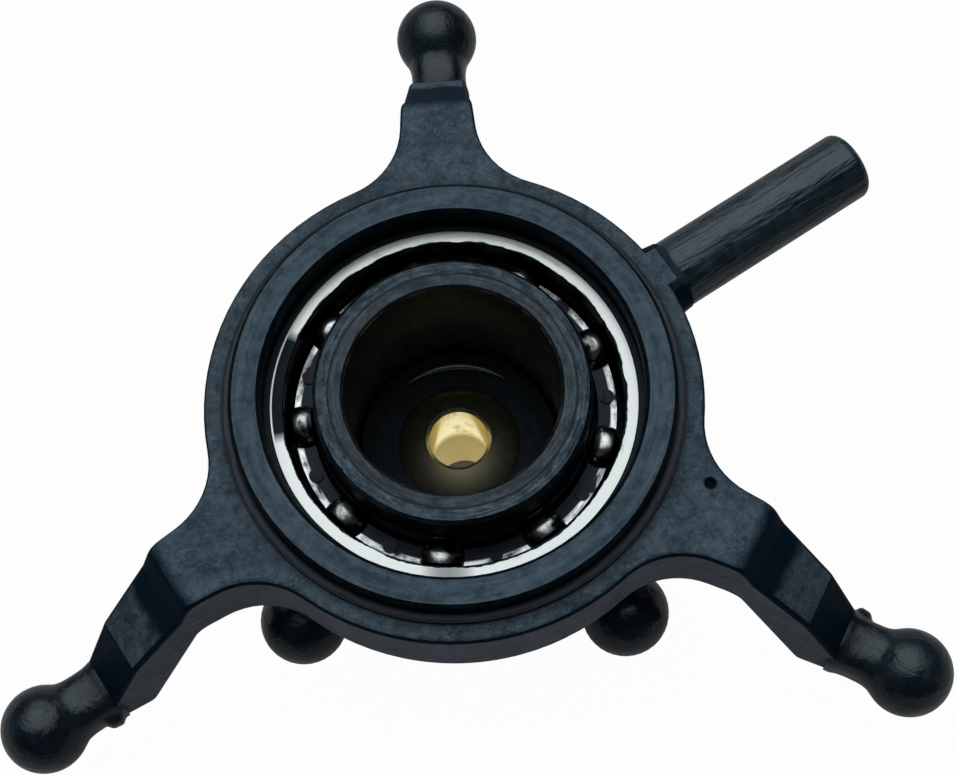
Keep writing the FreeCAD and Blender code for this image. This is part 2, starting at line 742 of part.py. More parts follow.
def make_servo_studs():
    """Ball studs of the star, each with the stub of its moulding gate."""
    outline = ball_stud_points("servo", "heel_reach", "arm_reach")
    for number in range(int(value("arm_count"))):
        label = f"servo_ball_stud_{number + 1}"
        stud = document.addObject("PartDesign::Body", label)
        turned_feature(stud, "Revolution", f"{label}_turned", outline,
                       {4: ("control_ball_radius", 1)})
        stub = box_points("0", "stub_reach", "0", "stub_radius")
        turned_feature(stud, "Revolution", f"{label}_stub", stub, axis="H_Axis",
                       turn=90, shift=("0", "stub_place", "0"))
        lay_along(stud, f"first_arm_angle + {number} * 360 / arm_count")
        finish(stud, label)


def make_link_studs():
    outline = ball_stud_points("link", "link_shank_root", "boss_reach")
    for number in range(int(value("link_count"))):
        label = f"link_ball_stud_{number + 1}"
        stud = turned_body(label, outline, {4: ("control_ball_radius", 1)})
        lay_along(stud, f"hub_angle + {number} * 360 / link_count")


def make_pin():
    """Anti-rotation pin, which slides in the guide of the helicopter's frame."""
    pin = turned_body("anti_rotation_pin", [
        ("0", "pin_shank_root"),
        ("pin_shank_radius", "pin_shank_root"),
        ("pin_shank_radius", "pin_boss_reach"),
        ("pin_radius", "pin_boss_reach"),
        ("pin_radius", "pin_reach - pin_tip_round"),
        ("pin_radius - pin_tip_round", "pin_reach"),
        ("0", "pin_reach"),
    ], {4: ("pin_tip_round", 1)})
    lay_along(pin, "pin_angle", "pin_height")


# ---------------------------------------------------------------- build and export


def check_document():
    """Stop if any object failed or any sub-part has no sound shape."""
    for item in document.Objects:
        if {"Invalid", "Error"} & set(item.State):
            raise RuntimeError(f"{item.Label} failed: {item.State}")
    for sub_part in sub_parts:
        if sub_part.Shape.isNull() or not sub_part.Shape.isValid():
            raise RuntimeError(f"{sub_part.Label} has no sound shape")


make_star()
make_housing()
make_races()
make_bearing_balls()
make_cage_half("cage_upper_half", False)
make_cage_half("cage_lower_half", True)
make_rivets()
make_hub()
make_retaining_ring()
make_ball_retainer()
make_seat_shells()
make_pivot_ball()
make_servo_studs()
make_link_studs()
make_pin()

document.recompute()
check_document()
os.makedirs("parts", exist_ok=True)
for sub_part in sub_parts:
    sub_part.Shape.exportStep(f"parts/{sub_part.Label}.step")
    print(f"{sub_part.Label}: {sub_part.Shape.Volume:.3f} mm3")
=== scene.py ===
# %% [markdown]
# # A helicopter's swashplate, seen from above
#
# A swashplate passes the servos' pushes up to the turning rotor. This one lies on a table with
# its rotor side down. The solids come in as a frame, one object for each real piece, and this
# lesson gives every piece its finish, adds the small marks that moulding and use leave, and
# sets the light and the camera.
# Lengths are in metres. The origin is the middle of the brass pivot ball, the shaft's axis is
# the z axis, and arm 1 of the star points along the y axis.

# %% Load the solids
import math

import bpy
import numpy as np
from mathutils import Matrix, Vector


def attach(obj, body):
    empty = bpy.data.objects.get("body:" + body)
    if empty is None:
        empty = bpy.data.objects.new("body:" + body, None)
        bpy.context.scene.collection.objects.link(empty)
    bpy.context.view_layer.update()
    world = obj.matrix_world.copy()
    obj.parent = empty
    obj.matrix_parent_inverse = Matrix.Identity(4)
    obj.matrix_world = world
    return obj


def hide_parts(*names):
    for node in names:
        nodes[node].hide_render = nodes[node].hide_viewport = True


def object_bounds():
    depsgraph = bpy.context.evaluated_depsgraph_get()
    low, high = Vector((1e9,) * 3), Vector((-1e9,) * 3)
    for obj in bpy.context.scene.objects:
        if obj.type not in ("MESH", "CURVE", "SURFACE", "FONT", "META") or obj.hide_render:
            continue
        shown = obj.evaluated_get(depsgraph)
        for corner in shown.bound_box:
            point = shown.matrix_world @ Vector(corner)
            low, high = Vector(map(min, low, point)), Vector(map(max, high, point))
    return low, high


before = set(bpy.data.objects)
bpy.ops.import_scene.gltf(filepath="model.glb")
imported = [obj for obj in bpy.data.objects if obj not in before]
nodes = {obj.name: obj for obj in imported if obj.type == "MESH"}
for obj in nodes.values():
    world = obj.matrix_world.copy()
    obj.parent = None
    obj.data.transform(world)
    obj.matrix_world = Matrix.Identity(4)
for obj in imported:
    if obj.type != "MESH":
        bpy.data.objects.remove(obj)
solid_box = [list(corner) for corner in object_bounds()]
MM = 0.001
print("pieces:", len(nodes), "box in mm:", np.round(np.array(solid_box) / MM, 2).tolist())

# %% [markdown]
# ## A small workshop for materials
#
# Every finish here is a shader with a few nodes in front of it. A kind of node that is needed
# often gets a helper, which adds the node and gives back the socket to use.
# All patterns read Object coordinates. A piece's object sits at the origin, so those are plain
# places in metres, and a scale of 1000 makes one unit of the pattern a millimetre.

# %% Helpers for shader nodes
def new_material(name):
    """Material with an empty Principled shader. Gives the material, its tree and the shader."""
    material = bpy.data.materials.new(name)
    material.use_nodes = True
    tree = material.node_tree
    tree.nodes.clear()
    shader = tree.nodes.new("ShaderNodeBsdfPrincipled")
    output = tree.nodes.new("ShaderNodeOutputMaterial")
    tree.links.new(shader.outputs[0], output.inputs[0])
    return material, tree, shader


def wire(tree, shader, **sockets):
    """Connect sockets, or set constants, on the shader. An underscore stands for a space."""
    for name, value in sockets.items():
        socket = shader.inputs[name.replace("_", " ")]
        if isinstance(value, bpy.types.NodeSocket):
            tree.links.new(value, socket)
        elif isinstance(value, tuple):
            socket.default_value = (*value, 1)
        else:
            socket.default_value = value


def place(tree, stretch=(1, 1, 1), turn=(0, 0, 0)):
    """Object coordinates in millimetres, seen from axes turned by turn, then stretched."""
    where = tree.nodes.new("ShaderNodeTexCoord")
    mapping = tree.nodes.new("ShaderNodeMapping")
    mapping.vector_type = "TEXTURE"
    mapping.inputs["Rotation"].default_value = turn
    mapping.inputs["Scale"].default_value = [MM / part for part in stretch]
    tree.links.new(where.outputs["Object"], mapping.inputs["Vector"])
    return mapping.outputs[0]


def combine(tree, operation, first, *others):
    """Maths on values, each a socket or a number, taken one after another."""
    for other in others:
        node = tree.nodes.new("ShaderNodeMath")
        node.operation = operation
        for socket, value in zip(node.inputs, (first, other)):
            if isinstance(value, bpy.types.NodeSocket):
                tree.links.new(value, socket)
            else:
                socket.default_value = value
        first = node.outputs[0]
    return first


def remap(tree, value, low, high, out_low=0.0, out_high=1.0):
    """Stretch the part of a value between low and high onto another range, and clamp it."""
    node = tree.nodes.new("ShaderNodeMapRange")
    node.inputs["From Min"].default_value = low
    node.inputs["From Max"].default_value = high
    node.inputs["To Min"].default_value = out_low
    node.inputs["To Max"].default_value = out_high
    tree.links.new(value, node.inputs["Value"])
    return node.outputs[0]


def blend_colours(tree, amount, first, second):
    """Colour that goes from first to second as amount goes from 0 to 1."""
    node = tree.nodes.new("ShaderNodeMix")
    node.data_type = "RGBA"
    tree.links.new(amount, node.inputs["Factor"])
    for socket, colour in ((node.inputs[6], first), (node.inputs[7], second)):
        if isinstance(colour, bpy.types.NodeSocket):
            tree.links.new(colour, socket)
        else:
            socket.default_value = (*colour, 1)
    return node.outputs[2]


def darken(tree, colour, amount):
    """Colour times a value from 0 to 1."""
    return blend_colours(tree, amount, (0, 0, 0), colour)


def bump(tree, relief, depth):
    """Normals of a relief, whose values from 0 to 1 span a depth in millimetres."""
    node = tree.nodes.new("ShaderNodeBump")
    node.inputs["Distance"].default_value = depth * MM
    node.inputs["Strength"].default_value = 1.0
    tree.links.new(relief, node.inputs["Height"])
    return node.outputs[0]


# %% [markdown]
# ## Patterns
#
# Mottling and grain are cloudy noise at several sizes. A hair line is drawn where a noise
# passes one level, as a contour is drawn on a map.
# Turned pieces carry their marks in rings. For those, the surface is first unrolled about the
# shaft, and the pattern is then stretched along the arc.

# %% Helpers for patterns
def noise(tree, where, scale, detail=3.0, rough=0.55, warp=0.0):
    """Cloudy noise whose spots are about 1 / scale millimetres wide."""
    node = tree.nodes.new("ShaderNodeTexNoise")
    node.inputs["Scale"].default_value = scale
    node.inputs["Detail"].default_value = detail
    node.inputs["Roughness"].default_value = rough
    node.inputs["Distortion"].default_value = warp
    tree.links.new(where, node.inputs["Vector"])
    return node.outputs[0]


def line_at(tree, value, level, edge):
    """1 where a value is at level, fading to 0 where it is edge away."""
    away = combine(tree, "ABSOLUTE", combine(tree, "SUBTRACT", value, level), 0.0)
    return remap(tree, away, 0.0, edge, 1.0, 0.0)


def scratches(tree, stretch, scale, edge, turn=(0, 0, 0)):
    """Hair lines, 1 on a line and 0 off it, along the contour of a stretched, warped noise."""
    return line_at(tree, noise(tree, place(tree, stretch, turn), scale, 2.0, warp=0.6), 0.5, edge)


def round_axis(tree, across, along):
    """Object coordinates unrolled about the shaft: (radius, arc length, height).

    across and along stretch the first two, and the arc is measured at a radius of 5 mm.
    """
    parts = tree.nodes.new("ShaderNodeSeparateXYZ")
    tree.links.new(place(tree), parts.inputs[0])
    x, y, z = parts.outputs
    squares = combine(tree, "ADD", combine(tree, "MULTIPLY", x, x),
                      combine(tree, "MULTIPLY", y, y))
    joined = tree.nodes.new("ShaderNodeCombineXYZ")
    radius = combine(tree, "MULTIPLY", combine(tree, "SQRT", squares, 0.0), across)
    arc = combine(tree, "MULTIPLY", combine(tree, "ARCTAN2", y, x), 5.0 * along)
    for value, socket in zip((radius, arc, z), joined.inputs):
        tree.links.new(value, socket)
    return joined.outputs[0]


# %% [markdown]
# ## Masks
#
# Painted shade, painted highlights, grease and tarnish are only in some places. A mask is a value
# from 0 to 1 that says where.
# It can read the height, the distance from the shaft's axis, the direction about that axis, how
# level the surface is, or how far other surfaces close it in, which gives painted shade in
# corners. A little noise added to the distance makes the edge of a painted mark ragged.

# %% Helpers for masks
FLAT = (1, 1, 1e-6)


def height_above_ball(tree):
    """Height above the pivot ball's middle, in millimetres."""
    parts = tree.nodes.new("ShaderNodeSeparateXYZ")
    tree.links.new(place(tree), parts.inputs[0])
    return parts.outputs["Z"]


def distance_from_axis(tree):
    """Distance from the shaft's axis, in millimetres: the length of the flattened place."""
    length = tree.nodes.new("ShaderNodeVectorMath")
    length.operation = "LENGTH"
    tree.links.new(place(tree, FLAT), length.inputs[0])
    return length.outputs["Value"]


def ragged_distance(tree, scale, amount, detail=4.0, rough=0.6):
    """Distance from the axis with a noise of some millimetres added."""
    wander = combine(tree, "MULTIPLY", noise(tree, place(tree), scale, detail, rough), amount)
    return combine(tree, "ADD", distance_from_axis(tree), wander)


def facing_up(tree):
    """Upward part of the surface's normal: 1 on a level top, 0 on an upright wall."""
    where = tree.nodes.new("ShaderNodeTexCoord")
    parts = tree.nodes.new("ShaderNodeSeparateXYZ")
    tree.links.new(where.outputs["Normal"], parts.inputs[0])
    return parts.outputs["Z"]


def band(tree, value, low, high, soft):
    """1 where a value lies between low and high, fading to 0 over soft on both sides."""
    up = remap(tree, value, low - soft, low)
    down = remap(tree, value, high, high + soft, 1.0, 0.0)
    return combine(tree, "MULTIPLY", up, down)


def ring_sector(tree, degrees, half_width):
    """1 in a sector about the shaft, centred on an angle, fading to 0 at half_width from it."""
    towards = tree.nodes.new("ShaderNodeVectorMath")
    towards.operation = "NORMALIZE"
    tree.links.new(place(tree, FLAT), towards.inputs[0])
    match = tree.nodes.new("ShaderNodeVectorMath")
    match.operation = "DOT_PRODUCT"
    angle = math.radians(degrees)
    match.inputs[1].default_value = (math.cos(angle), math.sin(angle), 0)
    tree.links.new(towards.outputs[0], match.inputs[0])
    edge = math.cos(math.radians(half_width))
    return remap(tree, match.outputs["Value"], edge - 0.01, edge + 0.01)


def painted_corner_shade(tree, reach, floor):
    """Painted shade in corners: 1 in the open, falling to floor where other surfaces within reach
    (mm) close in.
    """
    shade = tree.nodes.new("ShaderNodeAmbientOcclusion")
    shade.samples = 8
    shade.inputs["Distance"].default_value = reach * MM
    return remap(tree, shade.outputs["AO"], 0.40, 0.98, floor, 1.0)


def paint(names, material):
    """Give pieces their finish in place of the plain one that they come with."""
    for name in names:
        slots = nodes[name].data.materials
        slots.clear()
        slots.append(material)
    print(f"{material.name}: {len(names)} pieces")


# %% [markdown]
# ## Moulded plastic of the star
#
# The star and its three arms are moulded in a blue-black glass-filled nylon. Its skin isn't
# smooth: the mould's spark-eroded face leaves a fine grain, glass fibres near the skin make
# paler flecks, and use leaves hair scratches.
# Plain black would look like a hole, so the colour wanders between two blue-greys, the
# roughness wanders with it, and two sizes of grain go into the bump. The upright walls are
# painted paler, as painted light from the side. The steep facets of the arms, the rounded edges,
# the knees and the dimple are painted nearly black, with little shine, as painted shade, while
# the long slopes of the arms stay as matt as the top. Corners get painted shade too.

# %% Star plastic
BLUISH = (0.82, 0.93, 1.0)
# Painted light: upright walls mottle between these two paler colours.
PAINTED_LIT_WALL, PAINTED_DIM_WALL = (0.125, 0.155, 0.205), (0.066, 0.092, 0.128)
# Painted shade: the colour of steep facets, rounded edges, knees and the dimple.
PAINTED_SHADE_BLACK = (0.0012, 0.0095, 0.0200)
STEEP, ARM_SLOPE = (0.12, 0.74), (0.63, 0.67)
ARMS_START = 11.15
KNEE, FIRST_KNEE = (11.10, 12.05), (11.85, 12.80)
DIMPLE_DISTANCE, DIMPLE_ANGLE = 8.68, math.radians(336.5)


def near_dimple(tree):
    """1 in and just round the small dimple in arm 3's root."""
    away = tree.nodes.new("ShaderNodeVectorMath")
    away.operation = "DISTANCE"
    tree.links.new(place(tree, FLAT), away.inputs[0])
    away.inputs[1].default_value = (DIMPLE_DISTANCE * math.cos(DIMPLE_ANGLE),
                                    DIMPLE_DISTANCE * math.sin(DIMPLE_ANGLE), 0)
    return remap(tree, away.outputs["Value"], 0.19, 0.26, 1.0, 0.0)


def painted_shade_places(tree, upward):
    """Where painted shade goes: 1 on steep facets, on rounded edges, at the arms' knees and in the
    dimple.

    A knee is a range of distance from the axis, in millimetres, and arm 1 has a second one.
    """
    slope = combine(tree, "MULTIPLY", band(tree, upward, *ARM_SLOPE, 0.02),
                    remap(tree, distance_from_axis(tree), ARMS_START, ARMS_START + 0.05))
    steep = combine(tree, "SUBTRACT", band(tree, upward, *STEEP, 0.06), slope)
    along = ragged_distance(tree, 1.6, 0.5, 3.0, 0.55)
    knee = combine(tree, "MULTIPLY", band(tree, along, *KNEE, 0.4),
                   remap(tree, upward, 0.05, 0.15))
    first_knee = combine(tree, "MULTIPLY", band(tree, along, *FIRST_KNEE, 0.3),
                         ring_sector(tree, 90, 30))
    return combine(tree, "MAXIMUM", steep, knee, first_knee, near_dimple(tree))


def moulded_plastic(name, dark, pale, rough, depth, shine, scratch):
    """Matt plastic with mottled colour, two grains and hair scratches, with painted light on
    upright walls and painted shade on steep places and in corners.

    depth is the grain's, in millimetres, and scratch says how strongly the scratches show.
    """
    material, tree, shader = new_material(name)
    where = place(tree)
    clouds = combine(tree, "ADD", noise(tree, where, 0.8, 3.0, 0.6, 0.3),
                     noise(tree, where, 3.2, 4.0, 0.7, 0.5))
    mottle = remap(tree, clouds, 0.80, 1.20)
    flecks = remap(tree, noise(tree, where, 11.0, 2.0), 0.56, 0.74, 0.0, 0.45)
    lines = scratches(tree, (1.0, 0.25, 1.0), 1.3, 0.0035, (0, 0, 0.7))
    cracks = scratches(tree, (1.0, 1.0, 1.0), 0.7, 0.004)
    pits = remap(tree, noise(tree, where, 5.0, 3.0, 0.7), 0.50, 0.66, 1.0, 0.62)
    upward = facing_up(tree)
    # Painted light: upright walls and undersides get the paler wall colours, as if lit from the
    # side.
    wall = remap(tree, upward, 0.0, 0.06, 0.85, 0.0)
    painted_shade = painted_shade_places(tree, upward)

    lighter = tuple(1.9 * part for part in pale)
    colour = blend_colours(tree, mottle, dark, pale)
    colour = blend_colours(tree, flecks, colour, lighter)
    colour = blend_colours(tree, combine(tree, "MULTIPLY", lines, scratch), colour, lighter)
    colour = darken(tree, colour, pits)
    colour = darken(tree, colour, remap(tree, cracks, 0.0, 1.0, 1.0, 0.35))
    colour = blend_colours(tree, wall, colour,
                           blend_colours(tree, mottle, PAINTED_DIM_WALL, PAINTED_LIT_WALL))
    # Painted shade: steep facets, rounded edges, knees and the dimple go nearly black.
    colour = blend_colours(tree, painted_shade, colour, PAINTED_SHADE_BLACK)
    # Painted shade in corners and creases.
    colour = darken(tree, colour, painted_corner_shade(tree, 0.9, 0.25))

    grain = noise(tree, where, 7.0, 4.0, 0.65)
    pitting = combine(tree, "MULTIPLY", noise(tree, where, 22.0, 2.0), 0.4)
    # Painted shade also takes the shine off those places.
    wire(tree, shader, Base_Color=colour,
         Roughness=remap(tree, grain, 0.3, 0.7, rough - 0.07, rough + 0.07),
         Specular_IOR_Level=remap(tree, painted_shade, 0.0, 1.0, shine, 0.03),
         Specular_Tint=BLUISH,
         Normal=bump(tree, combine(tree, "ADD", grain, pitting), depth))
    return material


paint(["fixed_star"],
      moulded_plastic("star_plastic", dark=(0.016, 0.031, 0.046), pale=(0.058, 0.089, 0.118),
                      rough=0.50, depth=0.030, shine=0.15, scratch=0.45))

# %% [markdown]
# ## Housing, hub and rings
#
# The collar round the bearing is a separate moulding, pressed into the star. The hub's sleeve
# and its retaining ring come off a lathe. All are the star's blue-black, with fine rings round
# the shaft that a turned mould core or a cutting tool leaves.
# A swashplate is oiled, and the oil collects dirt. It dries to brown spots inside the sleeve.
# The housing's flange is painted dark as shade, with a thin painted highlight along its edge,
# and the seam round the retaining ring gets painted shade. Upright walls are painted darker than
# the tops, as shade, and the ball seat deep in the well is painted nearly black.

# %% Painted shade and grease on turned plastics
FLANGE_SHADE, FLANGE_HIGHLIGHT, DRIED_GREASE = (0.002, 0.006, 0.011), (0.050, 0.062, 0.085), (0.060, 0.052, 0.038)
SLEEVE_INSIDE = 3.52
SEAM = (4.01, 4.06)
FLANGE_EDGE = (7.36, 7.46)


def shade_on_flange(tree, colour):
    """The housing's flange is painted dark as shade, with a painted highlight as a thin line along
    its edge.
    """
    across = ragged_distance(tree, 1.3, 0.16)
    low = remap(tree, height_above_ball(tree), 7.2, 7.3, 1.0, 0.0)
    # Painted shade on the flange.
    colour = blend_colours(tree, low, colour, FLANGE_SHADE)
    # Painted highlight: a thin pale line along the flange's edge.
    line = combine(tree, "MULTIPLY", low, band(tree, across, *FLANGE_EDGE, 0.04))
    return blend_colours(tree, line, colour, FLANGE_HIGHLIGHT)


def shade_in_seam(tree, colour):
    """Painted shade in the seam between the sleeve and its retaining ring."""
    # Painted shade: a thin dark ring along the seam.
    seam = combine(tree, "MULTIPLY", band(tree, ragged_distance(tree, 1.6, 0.10), *SEAM, 0.03),
                   remap(tree, height_above_ball(tree), 7.2, 7.3))
    return darken(tree, colour, remap(tree, seam, 0.0, 1.0, 1.0, 0.12))


def grease_and_shade_in_well(tree, colour):
    """Painted shade and brown spots of grease high on the walls, and painted shade in the seam."""
    spots = remap(tree, noise(tree, round_axis(tree, 1.0, 0.5), 1.8, 5.0, 0.7, 0.6), 0.50, 0.62)
    inside = remap(tree, distance_from_axis(tree), SLEEVE_INSIDE, SLEEVE_INSIDE + 0.04, 1.0, 0.0)
    high = remap(tree, height_above_ball(tree), 3.6, 5.2)
    upright = remap(tree, facing_up(tree), 0.75, 0.96, 1.0, 0.0)
    # Painted shade: upright walls high in the well are darkened.
    upper_wall_shade = combine(tree, "MULTIPLY", upright, high)
    colour = darken(tree, colour, remap(tree, upper_wall_shade, 0.0, 1.0, 1.0, 0.25))
    grease = combine(tree, "MULTIPLY", spots, inside, high, 0.6)
    return blend_colours(tree, grease, shade_in_seam(tree, colour), DRIED_GREASE)


# %% Turned plastics
def scratch_rings(tree, level, edge):
    """Fine broken lines round the axis where a noise passes level, 1 on a line."""
    return line_at(tree, noise(tree, round_axis(tree, 7.0, 0.45), 1.0, 3.0, 0.6, 0.4), level, edge)


def turned_plastic(name, dark, pale, rough, ring_share=0.8, shine=0.18, depth=0.016,
                   wall=1.0, wear=0.3, stain_and_shade=None):
    """Plastic with clouds and with uneven streaks round the shaft's axis.

    depth is the relief's, in millimetres, and ring_share is the streaks' share in it. wall is
    how much of the colour and shine is left on upright walls and undersides, as painted shade,
    wear is the strength of the turned lines, and the last argument, called with (tree, colour),
    adds painted shade, painted highlights and grease in some places.
    """
    material, tree, shader = new_material(name)
    where = place(tree)
    streak = noise(tree, round_axis(tree, 4.0, 0.7), 1.0, 5.0, 0.65, 0.5)
    cloud = noise(tree, where, 2.2, 5.0, 0.68, 0.5)
    mottle = remap(tree, combine(tree, "ADD", streak, cloud), 0.82, 1.18)
    fine = noise(tree, where, 8.0, 4.0, 0.65)
    dark_lines = scratch_rings(tree, 0.47, 0.030)
    pale_lines = scratch_rings(tree, 0.58, 0.022)
    # Painted shade: upright walls and undersides keep only part of their colour and shine.
    kept = remap(tree, facing_up(tree), 0.75, 0.96, wall, 1.0)

    colour = blend_colours(tree, mottle, dark, pale)
    colour = darken(tree, colour, remap(tree, dark_lines, 0.0, 1.0, 1.0, 1.0 - 0.8 * wear))
    colour = blend_colours(tree, combine(tree, "MULTIPLY", pale_lines, 0.7 * wear), colour,
                           tuple(2.0 * part for part in pale))
    colour = darken(tree, colour, kept)
    if stain_and_shade is not None:
        colour = stain_and_shade(tree, colour)
    # Painted shade in corners and creases.
    colour = darken(tree, colour, painted_corner_shade(tree, 0.9, 0.2))

    relief = combine(tree, "ADD", combine(tree, "MULTIPLY", streak, ring_share), fine)
    wire(tree, shader, Base_Color=colour,
         Roughness=remap(tree, fine, 0.3, 0.7, rough - 0.07, rough + 0.07),
         Specular_IOR_Level=combine(tree, "MULTIPLY", kept, shine),
         Specular_Tint=BLUISH, Normal=bump(tree, relief, depth))
    return material


paint(["bearing_housing"],
      turned_plastic("housing_plastic", dark=(0.012, 0.029, 0.045), pale=(0.050, 0.084, 0.112),
                     rough=0.48, wall=0.12, stain_and_shade=shade_on_flange))
paint(["rotating_hub"],
      turned_plastic("hub_plastic", dark=(0.006, 0.011, 0.016), pale=(0.040, 0.058, 0.072),
                     rough=0.42, ring_share=1.5, wear=0.8, stain_and_shade=grease_and_shade_in_well))
paint(["hub_retaining_ring", "ball_retainer_ring"],
      turned_plastic("ring_plastic", dark=(0.007, 0.014, 0.022), pale=(0.058, 0.088, 0.115),
                     rough=0.42, ring_share=1.8, shine=0.16, depth=0.030, wall=0.2, wear=1.0,
                     stain_and_shade=shade_in_seam))
# The seat is painted nearly black with little shine: painted shade deep in the well.
paint(["ball_seat_upper", "ball_seat_lower"],
      turned_plastic("seat_plastic", dark=(0.002, 0.004, 0.006), pale=(0.006, 0.009, 0.011),
                     rough=0.50, ring_share=1.0, shine=0.06))

# %% [markdown]
# ## Bearing steel and brass
#
# The outer race is ground and bright, and so is the cage, which is pressed from steel sheet.
# Oil has dried nearly black in patches on both. Two sectors of the race's face are painted
# nearly black as a painted dark reflection, and its inner edge and the inner half of the cage's
# flats as painted shade. The balls, the inner race and the rivets lie in the cage's shade, so
# their steel is painted dark as shade, and the balls' polish leaves only small bright spots.
# Ground rings carry hair lines round their axis, which stretch each highlight, so the bump is a
# ring pattern with a little noise.
# The pivot ball is turned from brass and polished: pale yellow, browner where it has tarnished.

# %% Painted shade and tarnish on metals
RACE_EDGES = (5.75, 6.30)
RACE_LAND_END = 5.90
DARK_REFLECTION_SECTORS = ((171, 18), (265, 3.5))
CAGE_MIDDLE, CAGE_FLATS_TOP = 5.08, 5.56


def shade_on_race(tree, patches):
    """Painted dark reflection in two sectors of the race's face, and painted shade along its
    ragged inner edge.
    """
    edges = combine(tree, "SUBTRACT", 1.0,
                    band(tree, ragged_distance(tree, 1.1, 0.26), *RACE_EDGES, 0.02))
    sectors = combine(tree, "MAXIMUM", *(ring_sector(tree, *sector) for sector in DARK_REFLECTION_SECTORS))
    inside = remap(tree, distance_from_axis(tree), RACE_LAND_END, RACE_LAND_END + 0.02, 1.0, 0.0)
    return combine(tree, "MAXIMUM", patches, edges, combine(tree, "MULTIPLY", sectors, inside))


def shade_in_cage(tree, patches):
    """Painted shade on the inner half of the cage's flats."""
    inner = remap(tree, distance_from_axis(tree), CAGE_MIDDLE, CAGE_MIDDLE + 0.06, 1.0, 0.0)
    flat = remap(tree, height_above_ball(tree), CAGE_FLATS_TOP, CAGE_FLATS_TOP + 0.12, 1.0, 0.0)
    return combine(tree, "MAXIMUM", patches, combine(tree, "MULTIPLY", inner, flat))


def tarnish_on_ball(tree, patches):
    """Tarnish low in the brass bore, and on the ball away from the bore's edge."""
    deep = remap(tree, height_above_ball(tree), 0.7, 0.1)
    outside = remap(tree, distance_from_axis(tree), 1.3, 2.6)
    return combine(tree, "MAXIMUM", patches, deep, outside)


# %% Metals
def metal(name, clean, dull, rough, share=(0.42, 0.70), depth=0.0015, stretch=(5.0, 0.5),
          dull_and_shade=None, edge=(1.0, 1.0, 1.0)):
    """Metal with streaks round the axis and duller patches.

    share is the range of the streaks' noise over which the metal goes from clean to dull, and
    stretch is that noise's, across and along the rings. The function for more dull places, called
    with (tree, patches), adds tarnish on the brass and painted shade on the race and the cage, and
    edge is its tint where it is seen at a flat angle.
    """
    material, tree, shader = new_material(name)
    streak = noise(tree, round_axis(tree, *stretch), 1.0, 4.0, 0.6, 0.4)
    cloud = noise(tree, place(tree), 1.2, 5.0, 0.6, 0.5)
    mean = combine(tree, "MULTIPLY", combine(tree, "ADD", streak, cloud), 0.5)
    patches = remap(tree, mean, *share)
    if dull_and_shade is not None:
        patches = dull_and_shade(tree, patches)
    speck = combine(tree, "MULTIPLY", noise(tree, place(tree), 20.0, 3.0), 0.4)
    wire(tree, shader, Base_Color=blend_colours(tree, patches, clean, dull), Metallic=1.0,
         Specular_Tint=edge,
         Roughness=remap(tree, patches, 0.0, 1.0, rough, rough + 0.14),
         Normal=bump(tree, combine(tree, "ADD", streak, speck), depth))
    return material


balls = [name for name in nodes if name.startswith("bearing_ball_")]
# Painted dark reflection in two sectors of the race's face, and painted shade on its inner edge.
race_finish = metal("race_steel", clean=(0.34, 0.365, 0.36), dull=(0.006, 0.010, 0.013),
                    rough=0.32, share=(0.56, 0.80), depth=0.004, stretch=(6.0, 0.4),
                    dull_and_shade=shade_on_race)
paint(["bearing_outer_race"], race_finish)
# The inner race is painted dark, as painted shade from the cage and the hub.
paint(["bearing_inner_race"],
      metal("inner_race_steel", clean=(0.08, 0.09, 0.10), dull=(0.02, 0.02, 0.025), rough=0.25))
# The balls' steel is painted dark as shade of the cage; their polish still shows the lamp's spots.
paint(balls,
      metal("ball_steel", clean=(0.050, 0.052, 0.056), dull=(0.020, 0.021, 0.023), rough=0.05,
            share=(0.5, 0.8), depth=0.0001, stretch=(1.0, 1.0)))
# The rivets are painted nearly black, as painted shade inside the cage.
paint(["cage_rivets"],
      metal("rivet_steel", clean=(0.012, 0.013, 0.016), dull=(0.006, 0.006, 0.008), rough=0.3))
# Painted shade on the inner half of the cage's flats.
paint(["cage_upper_half", "cage_lower_half"],
      metal("cage_steel", clean=(0.36, 0.38, 0.38), dull=(0.008, 0.010, 0.013), rough=0.17,
            share=(0.44, 0.58), depth=0.005, stretch=(3.0, 0.9), dull_and_shade=shade_in_cage))
paint(["pivot_ball"],
      metal("pivot_brass", clean=(1.00, 0.92, 0.60), dull=(0.38, 0.29, 0.10), rough=0.20,
            share=(0.54, 0.72), depth=0.003, stretch=(1.5, 0.5), dull_and_shade=tarnish_on_ball,
            edge=(0.95, 0.90, 0.66)))

# %% [markdown]
# ## Glossy studs and pin
#
# The ball studs and the anti-rotation pin are polished, because link sockets and the guide run
# on them. A smooth black plastic gives the soft bright spots. A socket leaves fine rubbed lines
# on a ball, and the mould leaves a ripple along the pin, which points 30 degrees off the x axis.

